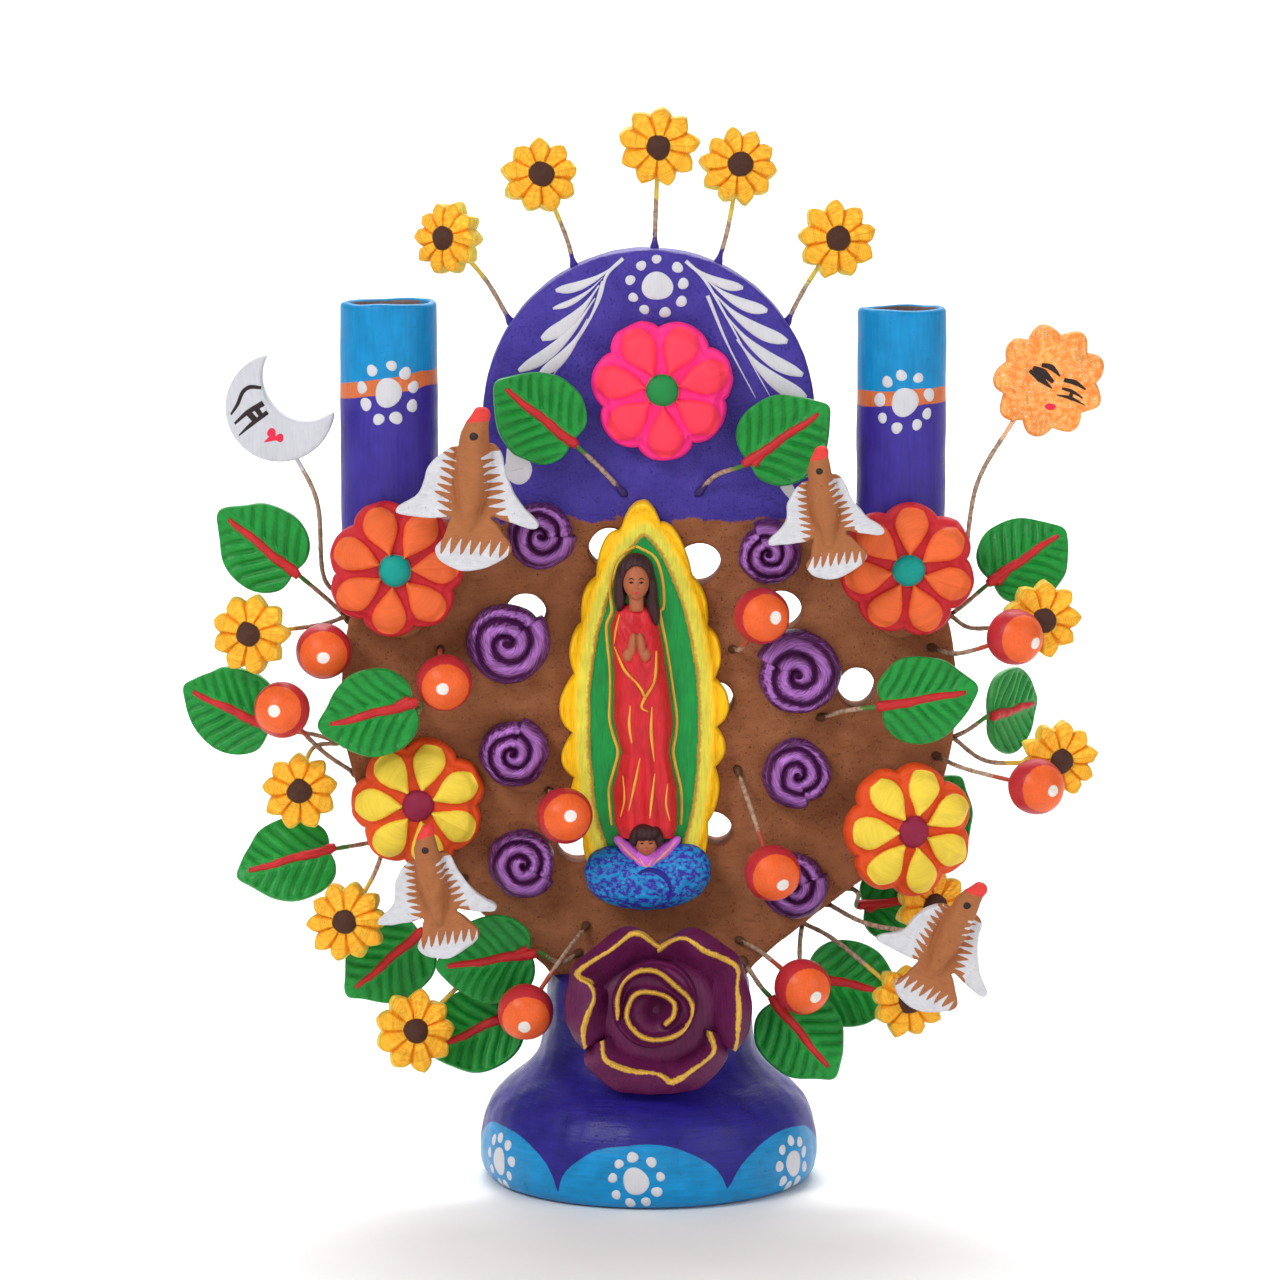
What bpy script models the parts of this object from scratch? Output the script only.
"""Clay tree of life: a moulded back panel on a bell-shaped base, with two candle sockets, clay
flowers and roses on its face, a relief plaque, and birds, fruit, daisies, leaves, a moon and a
sun on iron wires set in the clay.

Sizes are in millimetres, turned into metres as the meshes are made. +Z is up and the front
faces -Y. The origin is on the base's axis, on the surface that the base stands on.
"""

import math

import bmesh
import bpy
from mathutils import Matrix, Vector

MM = 0.001
GAP = 0.3  # left between pieces that rest on each other

# Driving dimensions
BASE_RADIUS = 46.0
BASE_HEIGHT = 57.0
NECK_RADIUS = 28.0
FOOT_WIDTH = 7.5
HOLLOW_HEIGHT = 30.0
TENON_WIDTH = 36.0
TENON_DEPTH = 13.0
TENON_THICKNESS = 12.0
PANEL_THICKNESS = 14.0
PANEL_EDGE = 2.2
DISC_RADIUS = 83.0
DISC_HEIGHT = 133.4
ARCH_RADIUS = 44.5
ARCH_HEIGHT = 208.4
SHOULDER_HEIGHT = 180.5
SOCKET_FOOT = 163.0
SOCKET_WALL = 2.6
BORE_DEPTH = 42.0
WIRE_RADIUS = 0.65
WIRE_HOLE_RADIUS = 1.1
DRILL_OVERRUN = 2.4  # how far a drill reaches out of the clay
CUTTER_OVERRUN = 5.0  # how far a cutting box reaches past what it cuts
WIRE_IN_CLAY = 3.4
CLEAR_OF_CLAY = 1.5
PETALS = 7
FLOWER_DEPTH = 10.0
ROSE_DEPTH = 10.0
DAISY_LOBES = 9
LEAF_LENGTH = 28.0
LEAF_WIDTH = 23.0
LEAF_DEPTH = 2.2
PAD_RADIUS = 6.3
LARGE_ROSE_RADIUS = 25.5
LARGE_ROSE_HEIGHT = 0.88  # of its width
LARGE_ROSE_DEPTH = 15.5
SUN_DEPTH = 3.4
MOON_THICKNESS = 7.0
BIRD_THICKNESS = 3.4
FRUIT_RADIUS = 7.5
BIRD_LENGTH = 44.0
PLAQUE_DEPTH = 6.0
FACE = -PANEL_THICKNESS / 2 - GAP  # the y of a back that rests on the panel's face

# Each socket: its axis's x, its outer radius and its rim's height
SOCKETS = {
    "candle_socket_left": (-69.8, 13.2, 239.0),
    "candle_socket_right": (67.8, 12.1, 237.5),
}
# The holes right through the panel: x and z of the centre, and the radius
SEE_THROUGH = [
    (-11, 173, 5.2), (13.5, 168.5, 5.7), (-33, 155.5, 5.2), (36, 156, 5.2), (-55.5, 135, 5.0),
    (56, 135, 5.2), (-17.5, 131.5, 5.2), (17.5, 131.5, 5.2), (-19.5, 92, 5.2), (18, 96.5, 4.5),
]  # fmt: skip
# Big flowers: x, y of the back, z, radius, roll, yaw, and x, z of the clay pad behind
FLOWERS = {
    "pink_flower": (3.5, FACE, 216, 19.2, 16, 0, None),
    "orange_flower_left": (-67.5, -13.6, 168.5, 18.6, 5, 0, (-66, 156)),
    "orange_flower_right": (69, -13.6, 168.5, 18.3, -17, 0, (67, 156)),
    "yellow_flower_left": (-62, FACE, 104, 18.2, -27, 0, None),
    "yellow_flower_right": (68.5, -13, 98, 18.4, -27, 18, (61, 98)),
}
# Small roses: x, z, radius, roll
ROSES = {
    "rose_left_1": (-29, 177, 9.7, 0),
    "rose_left_2": (-38, 148, 11.8, 40),
    "rose_left_3": (-36.5, 118, 9.9, 75),
    "rose_left_4": (-34, 88, 9.9, -30),
    "rose_right_1": (32, 172, 9.2, 120),
    "rose_right_2": (40, 139.5, 12.1, 160),
    "rose_right_3": (40, 112.5, 9.9, -70),
    "rose_right_4": (39, 82, 9.7, 20),
}
# Wired ornaments: where each is, how it is turned (roll, yaw and pitch in degrees), and its
# wire, from the point where it leaves the clay to its last bend before the ornament.
DAISIES = {
    "daisy_top_1": ((-53.5, -6, 256), (0, -32, 4), [(-37, 0, 233), (-44, -2, 245)]),
    "daisy_top_2": ((-29, -5, 272.5), (10, 8, 12), [(-20, 0, 248), (-22.5, -2, 257)]),
    "daisy_top_3": ((2.5, -6, 280.5), (5, 0, -6), [(1.5, 0, 253), (1.8, -2, 263)]),
    "daisy_top_4": ((24, -5, 275), (-8, 4, 14), [(18.5, 0, 249), (21, -2, 258)]),
    "daisy_top_5": ((50, -6, 255.5), (12, 8, 8), [(37, 0, 233), (42, -3, 243)]),
}
LEAVES = {
    "leaf_arch_left": ((-29.5, -16, 209.5), (51, 8, 0), [(-7, -7, 188), (-13, -12, 195)]),
    "leaf_arch_right": ((36, -16, 203.5), (-55, -8, 6), [(13.5, -7, 188), (18, -11, 193)]),
    "leaf_left_1": ((-74, -23.5, 130.5), (104, 4, 0), [(-62.5, -7, 130), (-61.5, -18, 130)]),
    "leaf_left_2": ((-70.5, -10, 61), (131, 0, 8), [(-53, 0, 78.5), (-58, -4, 74)]),
    "leaf_left_3": ((-43, -17, 62.5), (99, 0, 6), [(-19, -7, 62.5), (-24, -13, 61)]),
    "leaf_right_1": ((73.5, -20, 134), (-80, 0, 0), [(46.5, -7, 127), (53, -15, 130)]),
    "leaf_right_2": ((70, 9, 73.5), (-84, 0, 26), [(54, 0, 79.5), (57, 3, 77)]),
    "leaf_right_3": ((41, -20, 42.5), (-141, 0, 16), [(25.5, -7, 60.5), (30, -15, 55)]),
}
FRUIT = {
    "fruit_left_1": ((-87, -15, 146), [(-82, -1, 140), (-85.5, -6, 141)]),
    "fruit_left_2": ((-97.5, -27, 132), [(-79.5, 0, 110.5), (-88, -13, 119)]),
    "fruit_left_3": ((-54.6, -20, 138.3), [(-56, -7, 145.5), (-56, -13, 145)]),
    "fruit_left_4": ((-33, -28, 50.5), [(-17, -7, 70), (-24, -22, 63)]),
    "fruit_left_5": ((-22.5, -24, 103), [(-27, -7, 107), (-26, -14, 107)]),
    "fruit_right_1": ((97, -27, 151.5), [(76, -7, 146), (83, -15, 145.5)]),
    "fruit_right_2": ((103, -28, 111.5), [(77.5, -7, 116.5), (85, -17, 114.5)]),
    "fruit_right_3": ((41, -29, 57.5), [(24.5, -7, 66), (31, -17, 64)]),
    "fruit_right_4": ((33, -27, 88), [(24, -7, 112.5), (27.5, -16, 103)]),
    "fruit_right_5": ((30, -22, 156.5), [(22.5, -7, 145.5), (25, -14, 147)]),
}
BIRDS = {
    "bird_upper_left": ((-46.5, -34, 195), (-4, 0, 0), [(-46, -7, 176.5), (-46, -22, 181)]),
    "bird_upper_right": ((46, -34, 188), (8, 0, 0), [(47.5, -7, 175), (48, -22, 178)]),
    "bird_lower_left": ((-57.4, -34, 87), (10, 0, 0), [(-50, -7, 83), (-54, -22, 82)]),
    "bird_lower_right": ((80, -34, 72.5), (-26, 0, 0), [(48, 0, 75), (60, -17, 72)]),
}
BIRD_SCALES = {
    "bird_upper_left": 1.0, "bird_upper_right": 0.81, "bird_lower_left": 0.84,
    "bird_lower_right": 0.88,
}  # fmt: skip
# Two ornaments whose wires leave the clay through one hole: a leaf and a daisy, each with
# its place, its turn and its wire's bend. The first point is the shared hole.
SPRAYS = {
    "spray_left_1": (
        (-81, 0, 152.5),
        ((-103.5, -10, 174), (51, -6, 0), [(-86, -3, 158)]),
        ((-106, -20, 151.5), (0, -12, 4), [(-89, -7, 152)]),
    ),
    "spray_left_2": (
        (-82, 0, 118.5),
        ((-112, -12, 130), (66, -8, 0), [(-91, -4, 122)]),
        ((-93.5, -17, 108.5), (12, 0, 8), [(-91, -5, 118)]),
    ),
    "spray_left_3": (
        (-70, 0, 93.5),
        ((-97, -9, 88), (106, 0, 28), [(-76, -3, 92)]),
        ((-81, -22, 74), (6, -10, 6), [(-74, -11, 85)]),
    ),
    "spray_left_4": (
        (-33, 0, 63.5),
        ((-47, -7, 41), (115, 0, 20), [(-35, -2, 56)]),
        ((-63, -19, 43.5), (0, 10, 10), [(-48, -11, 57)]),
    ),
    "spray_right_1": (
        (80, 0, 153),
        ((101, -4, 169.5), (-56, 6, 26), [(85, -2, 157)]),
        ((105, -14, 154.5), (4, 12, 0), [(88, -6, 151)]),
    ),
    "spray_right_2": (
        (81, 0, 120),
        ((98, 5, 127.5), (-88, 58, 0), [(86, -4, 123)]),
        ((110, -14, 116.5), (10, 12, 0), [(92, -8, 115)]),
    ),
    "spray_right_3": (
        (68, 0, 91),
        ((77, 12, 96), (-35, 0, 0), [(71, 4, 85)]),
        ((77, -4.5, 75), (0, 10, 6), [(75, -1, 84)]),
    ),
    "spray_right_4": (
        (42, 0, 71),
        ((54.5, -8, 54), (-102, 0, 12), [(41, -2, 63)]),
        ((69.5, -20, 52), (8, 14, 6), [(51, -10, 66)]),
    ),
}
DAISY_RADII = {
    "daisy_top_1": 10.4, "daisy_top_2": 10.8, "daisy_top_3": 11.2, "daisy_top_4": 11.0,
    "daisy_top_5": 11.0, "spray_left_1": 11.2, "spray_left_2": 10.8, "spray_left_3": 11.3,
    "spray_left_4": 11.7, "spray_right_1": 11.2, "spray_right_2": 11.0,
    "spray_right_3": 10.8, "spray_right_4": 10.4,
}  # fmt: skip
MOON = ((-98.5, -8, 211), 14.8, [(-79.6, 1, 157.5), (-87.5, -1, 164), (-89, -5, 185)])
SUN = ((106.8, -8, 218), 15.2, [(79.3, 0, 158), (84.5, -2, 167), (88, -5, 190)])

# Colours (linear RGB), roughness and metallic value of each kind of clay, paint and wire
FINISHES = {
    "violet_blue": ((0.06, 0.04, 0.36), 0.45, 0),
    "brown_clay": ((0.28, 0.10, 0.045), 0.85, 0),
    "pink": ((1.0, 0.03, 0.2), 0.7, 0),
    "orange": ((0.87, 0.15, 0.045), 0.7, 0),
    "yellow": ((0.83, 0.64, 0.06), 0.7, 0),
    "purple": ((0.16, 0.045, 0.2), 0.5, 0),
    "burgundy": ((0.1, 0.007, 0.05), 0.5, 0),
    "gold_yellow": ((0.9, 0.52, 0.01), 0.6, 0),
    "robe_red": ((0.64, 0.026, 0.04), 0.6, 0),
    "cloud_blue": ((0.013, 0.3, 0.64), 0.6, 0),
    "tan_clay": ((0.46, 0.17, 0.05), 0.8, 0),
    "fruit_red": ((0.8, 0.06, 0.035), 0.4, 0),
    "daisy_orange": ((0.96, 0.37, 0.02), 0.8, 0),
    "leaf_green": ((0.012, 0.27, 0.04), 0.5, 0),
    "white": ((0.8, 0.8, 0.82), 0.6, 0),
    "sun_orange": ((0.95, 0.42, 0.13), 0.8, 0),
}


# Scene, materials and placing


def clear_scene():
    for obj in list(bpy.data.objects):
        bpy.data.objects.remove(obj)


def new_collection(name):
    collection = bpy.data.collections.new(name)
    bpy.context.scene.collection.children.link(collection)
    return collection


def finish(name):
    """The material of that name, made on its first use."""
    if name in bpy.data.materials:
        return bpy.data.materials[name]
    colour, roughness, metallic = FINISHES[name]
    material = bpy.data.materials.new(name)
    material.use_nodes = True
    shader = material.node_tree.nodes["Principled BSDF"]
    shader.inputs["Base Color"].default_value = (*colour, 1)
    shader.inputs["Roughness"].default_value = roughness
    shader.inputs["Metallic"].default_value = metallic
    return material


def add(name, mesh, material, smooth=True):
    """An object of the assembly, with its own copy of the finish."""
    own = finish(material).copy()
    own.name = name + "_" + material
    mesh.materials.clear()
    mesh.materials.append(own)
    if smooth:
        mesh.shade_smooth()
        mesh.set_sharp_from_angle(angle=math.radians(50))
    obj = bpy.data.objects.new(name, mesh)
    pieces.objects.link(obj)
    return obj


def set_aside(obj):
    """Makes the object a tool of a Boolean, which isn't a piece itself."""
    if obj.name in pieces.objects:
        pieces.objects.unlink(obj)
    tools.objects.link(obj)
    obj.hide_render = True
    obj.display_type = "WIRE"
    return obj


def combine(obj, tool, operation):
    boolean = obj.modifiers.new(operation.title() + " " + tool.name, "BOOLEAN")
    boolean.operation = operation
    boolean.solver = "EXACT"
    boolean.object = set_aside(tool)
    return obj


def join(obj, tool):
    return combine(obj, tool, "UNION")


def cut(obj, tool):
    return combine(obj, tool, "DIFFERENCE")


def facing(roll=0, yaw=0, pitch=0):
    """Turns a form modelled facing +Z, with +Y up, to face -Y with +Z up, then by degrees."""
    to_front = Matrix.Rotation(math.radians(90), 3, "X")
    rolled = Matrix.Rotation(math.radians(roll), 3, "Z")
    pitched = Matrix.Rotation(math.radians(-pitch), 3, "X")
    yawed = Matrix.Rotation(math.radians(yaw), 3, "Z")
    return yawed @ pitched @ to_front @ rolled


def place(obj, position, turn=(0, 0, 0)):
    obj.location = Vector(position) * MM
    obj.rotation_euler = facing(*turn).to_euler()
    return obj


# Shapes


def turned(name, profile, sides, material):
    """A solid of revolution: the profile leaves the axis, runs down its outer side and comes
    back to the axis."""
    bm = bmesh.new()
    corners = [bm.verts.new((radius * MM, 0, height * MM)) for radius, height in profile]
    for start, end in zip(corners, corners[1:]):
        bm.edges.new((start, end))
    mesh = bpy.data.meshes.new(name)
    bm.to_mesh(mesh)
    bm.free()
    obj = add(name, mesh, material, smooth=False)
    screw = obj.modifiers.new("Turn", "SCREW")
    screw.steps = sides
    screw.render_steps = sides
    screw.use_merge_vertices = True
    screw.merge_threshold = 0.00001
    return obj


def meshed(curve_object, material):
    """The curve object as a closed mesh object."""
    bpy.context.view_layer.update()
    graph = bpy.context.evaluated_depsgraph_get()
    mesh = bpy.data.meshes.new_from_object(curve_object.evaluated_get(graph))
    bm = bmesh.new()
    bm.from_mesh(mesh)
    bmesh.ops.remove_doubles(bm, verts=bm.verts, dist=0.000005)
    bmesh.ops.recalc_face_normals(bm, faces=bm.faces)
    bm.to_mesh(mesh)
    bm.free()
    name = curve_object.name
    matrix = curve_object.matrix_world.copy()
    bpy.data.objects.remove(curve_object)
    obj = add(name, mesh, material)
    obj.matrix_world = matrix
    return obj


def slab(name, outline, thickness, edge, material):
    """A flat outline in XY with a chamfered edge, thickness thick and centred on its plane."""
    curve = bpy.data.curves.new(name, "CURVE")
    curve.dimensions = "2D"
    curve.fill_mode = "BOTH"
    curve.extrude = (thickness / 2 - edge) * MM
    curve.bevel_depth = edge * MM
    curve.bevel_resolution = 0
    curve.offset = -edge * MM
    spline = curve.splines.new("POLY")
    spline.points.add(len(outline) - 1)
    for point, (x, y) in zip(spline.points, outline):
        point.co = (x * MM, y * MM, 0, 1)
    spline.use_cyclic_u = True
    obj = bpy.data.objects.new(name, curve)
    pieces.objects.link(obj)
    return meshed(obj, material)


def soft_form(name, segments, rings, form, material):
    """A closed soft form: a sphere whose points are moved by form(angle, reach, front), where
    reach is 0 at the two poles and 1 at the rim, and front is 1 at the front pole."""
    bm = bmesh.new()
    bmesh.ops.create_uvsphere(bm, u_segments=segments, v_segments=rings, radius=1)
    for vert in bm.verts:
        reach = math.hypot(vert.co.x, vert.co.y)
        angle = math.atan2(vert.co.y, vert.co.x)
        vert.co = Vector(form(angle, reach, vert.co.z)) * MM
    mesh = bpy.data.meshes.new(name)
    bm.to_mesh(mesh)
    bm.free()
    return add(name, mesh, material)


def ball(name, radii, position, material):
    """An ellipsoid of 80 faces."""
    bm = bmesh.new()
    bmesh.ops.create_icosphere(bm, subdivisions=2, radius=1)
    bmesh.ops.scale(bm, vec=Vector(radii) * MM, verts=bm.verts)
    mesh = bpy.data.meshes.new(name)
    bm.to_mesh(mesh)
    bm.free()
    obj = add(name, mesh, material)
    obj.location = Vector(position) * MM
    return obj


def rod(name, start, end, radius, tip_radius, sides, material):
    """A straight rod or cone between two points."""
    start, end = Vector(start), Vector(end)
    length = (end - start).length
    bm = bmesh.new()
    bmesh.ops.create_cone(
        bm,
        cap_ends=True,
        segments=sides,
        radius1=radius * MM,
        radius2=tip_radius * MM,
        depth=length * MM,
    )
    mesh = bpy.data.meshes.new(name)
    bm.to_mesh(mesh)
    bm.free()
    obj = add(name, mesh, material)
    obj.location = (start + end) / 2 * MM
    obj.rotation_euler = Vector((0, 0, 1)).rotation_difference(end - start).to_euler()
    return obj


def box(name, low, high, material="brown_clay"):
    low, high = Vector(low) * MM, Vector(high) * MM
    bm = bmesh.new()
    bmesh.ops.create_cube(bm, size=1)
    bmesh.ops.scale(bm, vec=high - low, verts=bm.verts)
    mesh = bpy.data.meshes.new(name)
    bm.to_mesh(mesh)
    bm.free()
    obj = add(name, mesh, material, smooth=False)
    obj.location = (low + high) / 2
    return obj


def arc(centre, radius, start, end, steps):
    """Points on a circle from one angle to another, in degrees, both ends included."""
    points = []
    for step in range(steps + 1):
        angle = math.radians(start + (end - start) * step / steps)
        points.append(
            (centre[0] + radius * math.cos(angle), centre[1] + radius * math.sin(angle))
        )
    return points


def mirrored(half):
    """A whole outline from its right half, which runs from the top of the middle to its foot."""
    return half + [(-x, y) for x, y in reversed(half) if x > 0.01]


# Wires


def along(points, steps):
    """Points on a smooth curve through the given ones (Catmull-Rom)."""
    ends = [2 * points[0] - points[1], *points, 2 * points[-1] - points[-2]]
    curve = []
    for before, start, end, after in zip(ends, ends[1:], ends[2:], ends[3:]):
        for step in range(steps):
            t = step / steps
            curve.append(
                start
                + (end - before) * t / 2
                + (2 * before - 5 * start + 4 * end - after) * t**2 / 2
                + (3 * start - before - 3 * end + after) * t**3 / 2
            )
    return [*curve, points[-1]]


def wire(name, route, branch=False):
    """A wire along the route: straight in the clay, where its hole is noted for drilling, then
    on a smooth curve. A branch starts in the middle of another wire instead."""
    route = [Vector(point) for point in route]
    way = (route[1] - route[0]).normalized()
    start = route[0] if branch else route[0] + way * CLEAR_OF_CLAY
    points = along([start, *route[1:]], 2)
    if len(route) > 3:
        del points[-2]
    if not branch:
        points.insert(0, route[0] - way * WIRE_IN_CLAY)
        drilled[tuple(route[0])] = way
    return tube(name, points)


def tube(name, points):
    """A wire through the points, as a closed mesh."""
    curve = bpy.data.curves.new(name, "CURVE")
    curve.dimensions = "3D"
    curve.bevel_depth = WIRE_RADIUS * MM
    curve.bevel_resolution = 1
    curve.use_fill_caps = True
    spline = curve.splines.new("POLY")
    spline.points.add(len(points) - 1)
    for place_on, point in zip(spline.points, points):
        place_on.co = (*(point * MM), 1)
    obj = bpy.data.objects.new(name, curve)
    pieces.objects.link(obj)
    return meshed(obj, "tan_clay")


def drill_wire_holes(panel):
    """One blind hole for each place where a wire leaves the clay."""
    for number, (mouth, way) in enumerate(drilled.items(), 1):
        bottom = Vector(mouth) - way * (WIRE_IN_CLAY + GAP)
        top = Vector(mouth) + way * DRILL_OVERRUN
        name = f"wire_hole_{number}"
        cut(panel, rod(name, bottom, top, WIRE_HOLE_RADIUS, WIRE_HOLE_RADIUS, 6, "brown_clay"))


# Base, panel and sockets


def base():
    """The hollow bell: flat-topped neck, flare, rounded foot, and a slot for the panel."""
    inner = BASE_RADIUS - FOOT_WIDTH
    profile = [
        (0, BASE_HEIGHT), (NECK_RADIUS - 3, BASE_HEIGHT), (NECK_RADIUS - 1, BASE_HEIGHT - 2),
        (NECK_RADIUS, 46), (NECK_RADIUS + 0.6, 37), (31.5, 31.5), (40, 25), (44, 19.5),
        (BASE_RADIUS, 10), (BASE_RADIUS, 4), (BASE_RADIUS - 2.2, 0),
        (inner, 0), (inner, 9), (inner - 5, 19), (16, 28), (0, HOLLOW_HEIGHT),
    ]  # fmt: skip
    obj = turned("base", profile, 28, "violet_blue")
    half = TENON_WIDTH / 2 + GAP
    deep = TENON_THICKNESS / 2 + GAP
    bottom = BASE_HEIGHT - TENON_DEPTH - GAP
    slot = box("panel_slot", (-half, -deep, bottom), (half, deep, BASE_HEIGHT + CUTTER_OVERRUN))
    return cut(obj, slot)


def panel_outline():
    """Arch, shoulders, round disc and flanks, down to the seat on the base."""
    seat = BASE_HEIGHT + GAP
    half = arc((0, ARCH_HEIGHT), ARCH_RADIUS, 90, 0, 9)
    half += [(ARCH_RADIUS, 187), (47, 182), (53, SHOULDER_HEIGHT), (68, SHOULDER_HEIGHT)]
    half += arc((0, DISC_HEIGHT), DISC_RADIUS, 30, -18, 7)
    half += [(73, 97), (64, 87), (42, 70.5), (32, 62), (27.5, seat)]
    return mirrored(half)


def back_panel():
    """The slab and its tenon, with the sockets' notches and the see-through holes."""
    panel = slab(
        "back_panel", panel_outline(), PANEL_THICKNESS, PANEL_EDGE, "brown_clay"
    )
    place(panel, (0, 0, 0))
    half, thick = TENON_WIDTH / 2, TENON_THICKNESS / 2
    foot = BASE_HEIGHT - TENON_DEPTH
    join(panel, box("panel_tenon", (-half, -thick, foot), (half, thick, BASE_HEIGHT + 8)))
    deep = PANEL_THICKNESS
    for name, (x, radius, _) in SOCKETS.items():
        side = math.copysign(1, x)
        inner, outer = x - side * (radius + GAP), x + side * 30
        low = (min(inner, outer), -deep, SOCKET_FOOT)
        high = (max(inner, outer), deep, SOCKET_FOOT + 40)
        cut(panel, box(name + "_notch", low, high))
    for number, (x, z, radius) in enumerate(SEE_THROUGH, 1):
        ends = (x, -deep, z), (x, deep, z)
        cut(panel, rod(f"see_through_{number}", *ends, radius, radius, 10, "brown_clay"))
    return panel


def candle_socket(name, x, radius, rim):
    """A round tube with a closed foot that stands in the panel's notch."""
    foot = SOCKET_FOOT + GAP
    bore = radius - SOCKET_WALL
    profile = [
        (0, rim - BORE_DEPTH), (bore, rim - BORE_DEPTH), (bore, rim - 0.6), (bore + 0.6, rim),
        (radius - 0.8, rim), (radius, rim - 0.8), (radius, foot + 1), (radius - 1, foot),
        (0, foot),
    ]  # fmt: skip
    obj = turned(name, profile, 20, "violet_blue")
    obj.location.x = x * MM
    return obj


# Clay work on the panel's face


def flower_form(radius, depth):
    """A thick scalloped disc with raised petals round a button, flat at the back."""

    def form(angle, reach, front):
        petal = math.cos(PETALS * angle)
        across = radius * (0.93 + 0.07 * petal) * reach
        height = 0.4 * depth
        if front > 0.05:
            height = depth * (0.84 + 0.08 * petal * (reach > 0.6))
            height = depth if reach < 0.3 else height
        elif front < -0.05:
            height = 0
        return across * math.cos(angle), across * math.sin(angle), height

    return form


def flower(name, x, back, z, radius, roll, yaw, pad):
    obj = soft_form(name, 4 * PETALS, 6, flower_form(radius, FLOWER_DEPTH), colour_of(name))
    place(obj, (x, back, z), (roll, yaw, 0))
    if pad:
        start, end = (pad[0], FACE, pad[1]), (pad[0], back - 3, pad[1])
        join(obj, rod(name + "_pad", start, end, PAD_RADIUS, PAD_RADIUS, 10, colour_of(name)))
    return obj


def colour_of(name):
    return name.split("_")[0]


def rose_form(radius, depth, turns):
    """A rolled coil of clay: narrow at the back, and with a spiral step on its front."""

    def form(angle, reach, front):
        across = radius * reach * (1 if front > -0.05 else 0.86)
        height = 0.45 * depth
        if front > 0.05:
            coil = (angle / math.tau + turns * reach) % 1
            height = depth * (0.8 + 0.14 * coil) if reach > 0.2 else depth
        elif front < -0.05:
            height = 0
        return across * math.cos(angle), across * math.sin(angle), height

    return form


def small_rose(name, x, z, radius, roll):
    obj = soft_form(name, 12, 6, rose_form(radius, ROSE_DEPTH, 2), "purple")
    return place(obj, (x, FACE, z), (roll, 0, 0))


def large_rose():
    """Three broad outer petals round a rolled centre, set on the front of the neck."""

    def form(angle, reach, front):
        lobe = math.cos(3 * (angle + math.pi / 2))
        across = LARGE_ROSE_RADIUS * reach * (0.94 + 0.06 * lobe)
        height = 0.35 * LARGE_ROSE_DEPTH
        if front > 0.05:
            height = LARGE_ROSE_DEPTH * (0.72 + 0.1 * lobe if reach > 0.6 else 0.84)
        elif front < -0.05:
            across *= 0.7 if reach > 0.9 else 0.6
            height = 0
        up = LARGE_ROSE_HEIGHT * across * math.sin(angle)
        return across * math.cos(angle), up, height

    obj = soft_form("large_rose", 18, 6, form, "burgundy")
    place(obj, (2.3, -NECK_RADIUS - 1.4, 51), (0, 0, 8))
    button = rod("large_rose_roll", (2, -38, 51), (2, -44.5, 52), 8, 6.5, 12, "burgundy")
    return join(obj, button)


def plaque():
    """The pointed oval plate with a wavy edge."""
    half_width, half_height, waves, wave_height = 20.5, 53.5, 17, 1.2
    outline = []
    for step in range(4 * waves):
        angle = math.tau * step / (4 * waves)
        wave = wave_height * (2 * abs(math.cos(waves * angle / 2)) - 1)
        across = (half_width + wave) * math.sin(angle) * (1 + 0.05 * math.cos(angle))
        up = (half_height + wave) * math.copysign(abs(math.cos(angle)) ** 0.9, math.cos(angle))
        outline.append((across, up))
    obj = slab("plaque", outline, PLAQUE_DEPTH, 0.8, "gold_yellow")
    return place(obj, (-1.3, FACE - PLAQUE_DEPTH / 2, 130))


def robed_figure():
    """A standing robed figure in half relief, hands together, flat at the back."""
    back = FACE - PLAQUE_DEPTH - GAP
    profile = [
        (0, 76.5), (2.6, 75), (4.3, 71), (4.4, 65), (2.6, 60.5), (5.6, 58), (8, 53),
        (8.3, 42), (7.4, 30), (8.6, 14), (9.2, 3), (7, 0), (0, 0),
    ]  # fmt: skip
    obj = turned("robed_figure", profile, 16, "robe_red")
    obj.location = Vector((-2.5, back, 99.5)) * MM
    obj.scale.y = 0.95
    hands = ball("figure_hands", (2.2, 2.2, 4), (-2.5, back - 6.6, 144), "robe_red")
    join(obj, hands)
    return cut(obj, box("figure_back", (-20, back, 90), (20, back + 20, 190)))


def cloud_and_angel():
    """A lumpy cloud at the plaque's foot, with a winged child's head and arms over it."""
    back = FACE - PLAQUE_DEPTH - GAP

    def cloud(angle, reach, front):
        lump = 1 + 0.05 * math.cos(8 * angle)
        across, up = 17 * reach * lump * math.cos(angle), 9.5 * reach * lump * math.sin(angle)
        height = 2.5 if abs(front) < 0.05 else (6.5 * front**0.5 if front > 0 else 0)
        return across, up, height

    obj = soft_form("cloud_and_angel", 16, 4, cloud, "cloud_blue")
    place(obj, (-0.7, back, 85))
    join(obj, ball("angel_head", (4.3, 4, 4.3), (-0.7, back - 4.3, 95), "cloud_blue"))
    for side in (-1, 1):
        start, end = (-0.7 + side * 2, back - 3, 90), (-0.7 + side * 9.5, back - 2.4, 96.5)
        arm = rod(f"angel_wing_{side + 1}", start, end, 2.3, 1.6, 8, "cloud_blue")
        join(obj, arm)
    return cut(obj, box("angel_back", (-25, back, 70), (25, back + 20, 105)))


# Wired ornaments


def daisy_form(radius):
    """A thick flower with pointed lobes and a domed middle."""

    def form(angle, reach, front):
        lobe = math.cos(DAISY_LOBES * angle)
        across = radius * reach * (0.91 + 0.09 * lobe)
        height = 0
        if front > 0.05:
            height = 2.8 if reach > 0.3 else 4.6
        elif front < -0.05:
            height = -3.2
        return across * math.cos(angle), across * math.sin(angle), height

    return form


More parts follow.
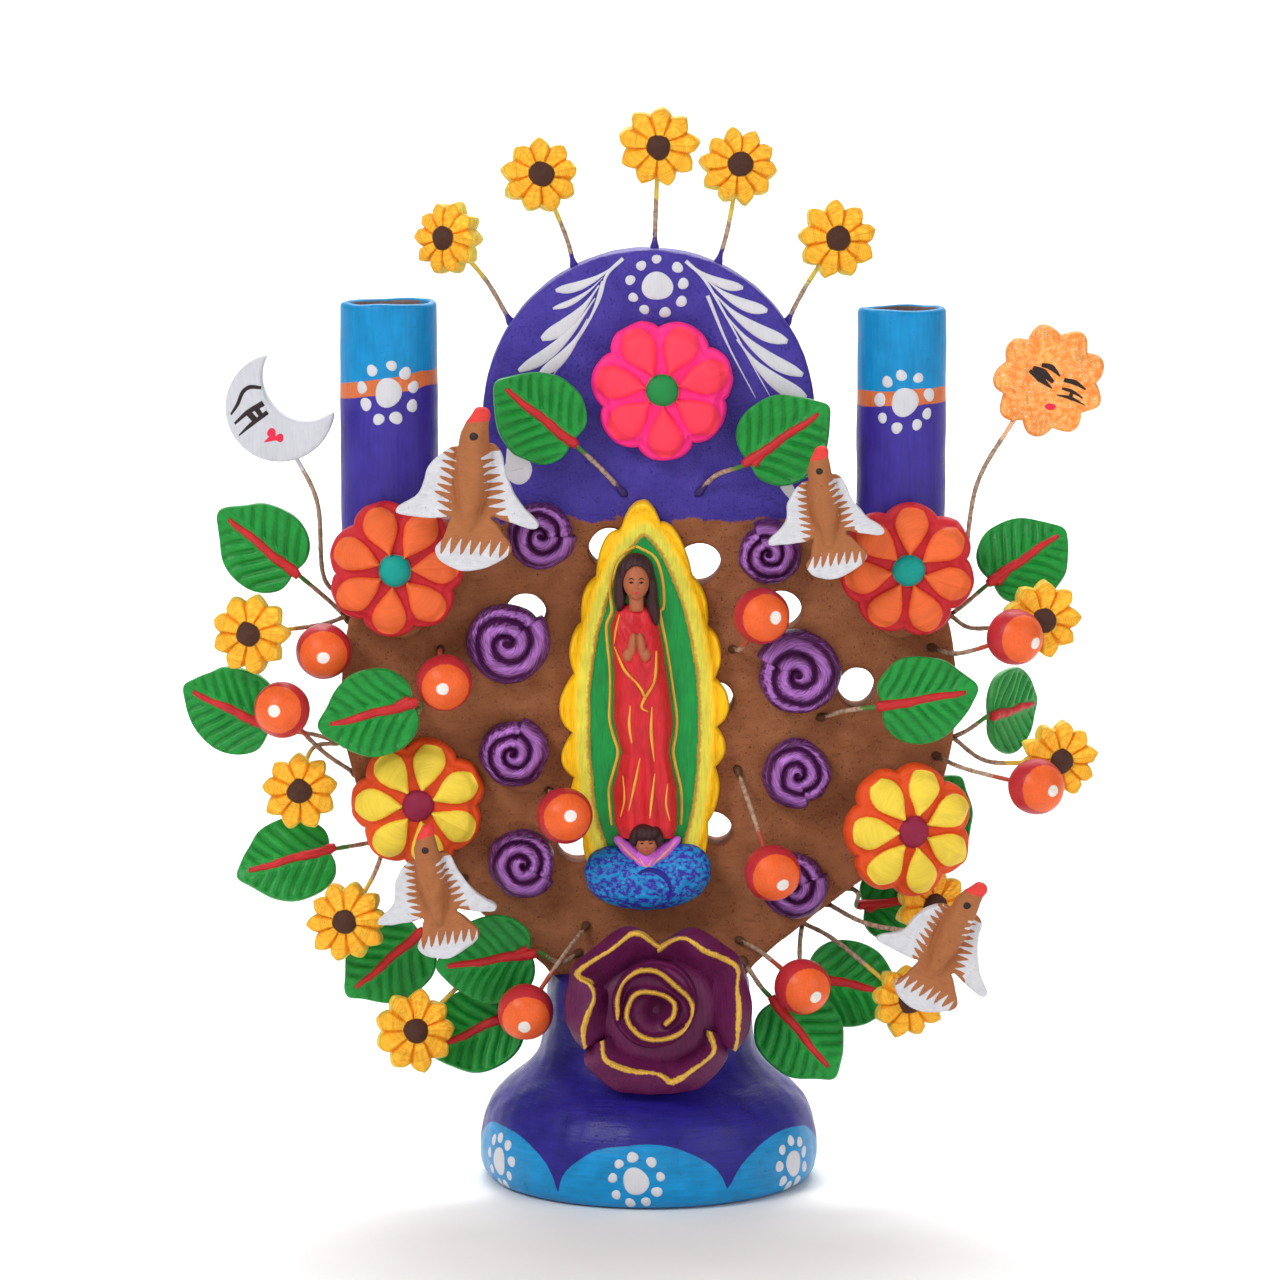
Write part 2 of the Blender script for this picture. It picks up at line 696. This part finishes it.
def daisy(name, radius, position, turn):
    obj = soft_form(name, 2 * DAISY_LOBES, 4, daisy_form(radius), "daisy_orange")
    return place(obj, position, turn)


def leaf_form(angle, reach, front):
    """A heart-shaped leaf, tip at +Y, notched where its stem comes in."""
    turn = angle - math.pi / 2
    from_tip = abs(math.atan2(math.sin(turn), math.cos(turn)))
    edge = 1 + 0.1 * math.exp(-((from_tip / 0.35) ** 2))
    edge -= 0.14 * math.exp(-(((math.pi - from_tip) / 0.35) ** 2))
    across = -LEAF_WIDTH / 2 * edge * math.sin(turn) * (1 - 0.12 * math.cos(turn))
    along_rib = LEAF_LENGTH / 2 * 0.92 * edge * math.cos(turn)
    height = LEAF_DEPTH * max(-1, min(1, 2 * front))
    return across * reach, along_rib * reach, height


def leaf(name, position, turn):
    return place(soft_form(name, 12, 4, leaf_form, "leaf_green"), position, turn)


def leaf_ends(position, turn):
    """The wire's last points: at the notch, then inside the leaf."""
    up = facing(*turn) @ Vector((0, 1, 0))
    centre = Vector(position)
    return [centre - up * LEAF_LENGTH * 0.5, centre - up * LEAF_LENGTH * 0.15]


def bird(name, position, turn):
    """A turned body, head and beak over a flat silhouette of wings and tail, head at +Y."""
    scale = BIRD_SCALES[name]
    half = [
        (0, 6.4), (5.7, 9.1), (10, 5), (13.5, -1), (19.5, -9), (18, -12), (9.4, -11.3),
        (5.6, -8.4), (6.4, -13.2), (10.5, -19), (11, -21.3), (6, -24.4), (0, -25),
    ]  # fmt: skip
    outline = [(x * scale, y * scale) for x, y in mirrored(half)]
    obj = place(slab(name, outline, BIRD_THICKNESS, 0, "tan_clay"), position, turn)
    profile = [
        (0, BIRD_LENGTH - 25), (2.2, 17.5), (3.4, 13), (3.8, 9), (5.2, 3), (4.6, -5), (0, -12),
    ]  # fmt: skip
    profile = [(radius * scale, height * scale) for radius, height in profile]
    body = turned(name + "_body", profile, 8, "tan_clay")
    facing_turn = facing(*turn)
    body.location = (Vector(position) + facing_turn @ Vector((0, 0, 1.2))) * MM
    lying = Matrix.Rotation(math.radians(-90), 3, "X")
    body.rotation_euler = (facing_turn @ lying).to_euler()
    return join(obj, body)


def fruit(name, position):
    return ball(name, (FRUIT_RADIUS,) * 3, position, "fruit_red")


def moon():
    """A crescent with blunt horns, open to the upper right."""
    position, radius, route = MOON
    outer = arc((0, 0), radius, 100, 350, 14)
    inner = arc((7.6, 7.6), 11.6, -58, -212, 8)
    obj = place(slab("moon", outer + inner, MOON_THICKNESS, 0.9, "white"), position, (4, 0, 0))
    end = Vector(position) + Vector((3.5, 0, -9.5))
    return join(obj, wire("moon_wire", [*route, end]))


def sun():
    """A thick disc with a lobed edge."""
    position, radius, route = SUN

    def form(angle, reach, front):
        across = radius * reach * (0.94 + 0.06 * math.cos(DAISY_LOBES * angle))
        height = SUN_DEPTH * max(-1, min(1, 2 * front))
        return across * math.cos(angle), across * math.sin(angle), height

    obj = place(soft_form("sun", 2 * DAISY_LOBES, 4, form, "sun_orange"), position, (6, 0, 0))
    end = Vector(position) + Vector((-6, 0, -6))
    return join(obj, wire("sun_wire", [*route, end]))


def spray(name, hole, leaf_part, daisy_part):
    """A leaf and a daisy whose wires leave the clay together."""
    leaf_at, leaf_turn, leaf_bends = leaf_part
    daisy_at, daisy_turn, daisy_bends = daisy_part
    obj = leaf(name, leaf_at, leaf_turn)
    route = [hole, *leaf_bends, *leaf_ends(leaf_at, leaf_turn)]
    join(obj, wire(name + "_leaf_wire", route))
    fork = Vector(hole) + (Vector(leaf_bends[0]) - Vector(hole)).normalized() * CLEAR_OF_CLAY
    join(obj, wire(name + "_daisy_wire", [fork, *daisy_bends, daisy_at], branch=True))
    return join(obj, daisy(name + "_daisy", DAISY_RADII[name], daisy_at, daisy_turn))


def wired_ornaments():
    for name, (position, turn, route) in DAISIES.items():
        obj = daisy(name, DAISY_RADII[name], position, turn)
        join(obj, wire(name + "_wire", [*route, position]))
    for name, (position, turn, route) in LEAVES.items():
        obj = leaf(name, position, turn)
        join(obj, wire(name + "_wire", [*route, *leaf_ends(position, turn)]))
    for name, (position, route) in FRUIT.items():
        join(fruit(name, position), wire(name + "_wire", [*route, position]))
    for name, (position, turn, route) in BIRDS.items():
        join(bird(name, position, turn), wire(name + "_wire", [*route, position]))
    for name, parts in SPRAYS.items():
        spray(name, *parts)
    moon()
    sun()


clear_scene()
pieces = new_collection("clay_tree_of_life")
tools = new_collection("cutters")
drilled = {}

base()
panel = back_panel()
for socket_name, sizes in SOCKETS.items():
    candle_socket(socket_name, *sizes)
for flower_name, sizes in FLOWERS.items():
    flower(flower_name, *sizes)
for rose_name, sizes in ROSES.items():
    small_rose(rose_name, *sizes)
large_rose()
plaque()
robed_figure()
cloud_and_angel()
wired_ornaments()
drill_wire_holes(panel)
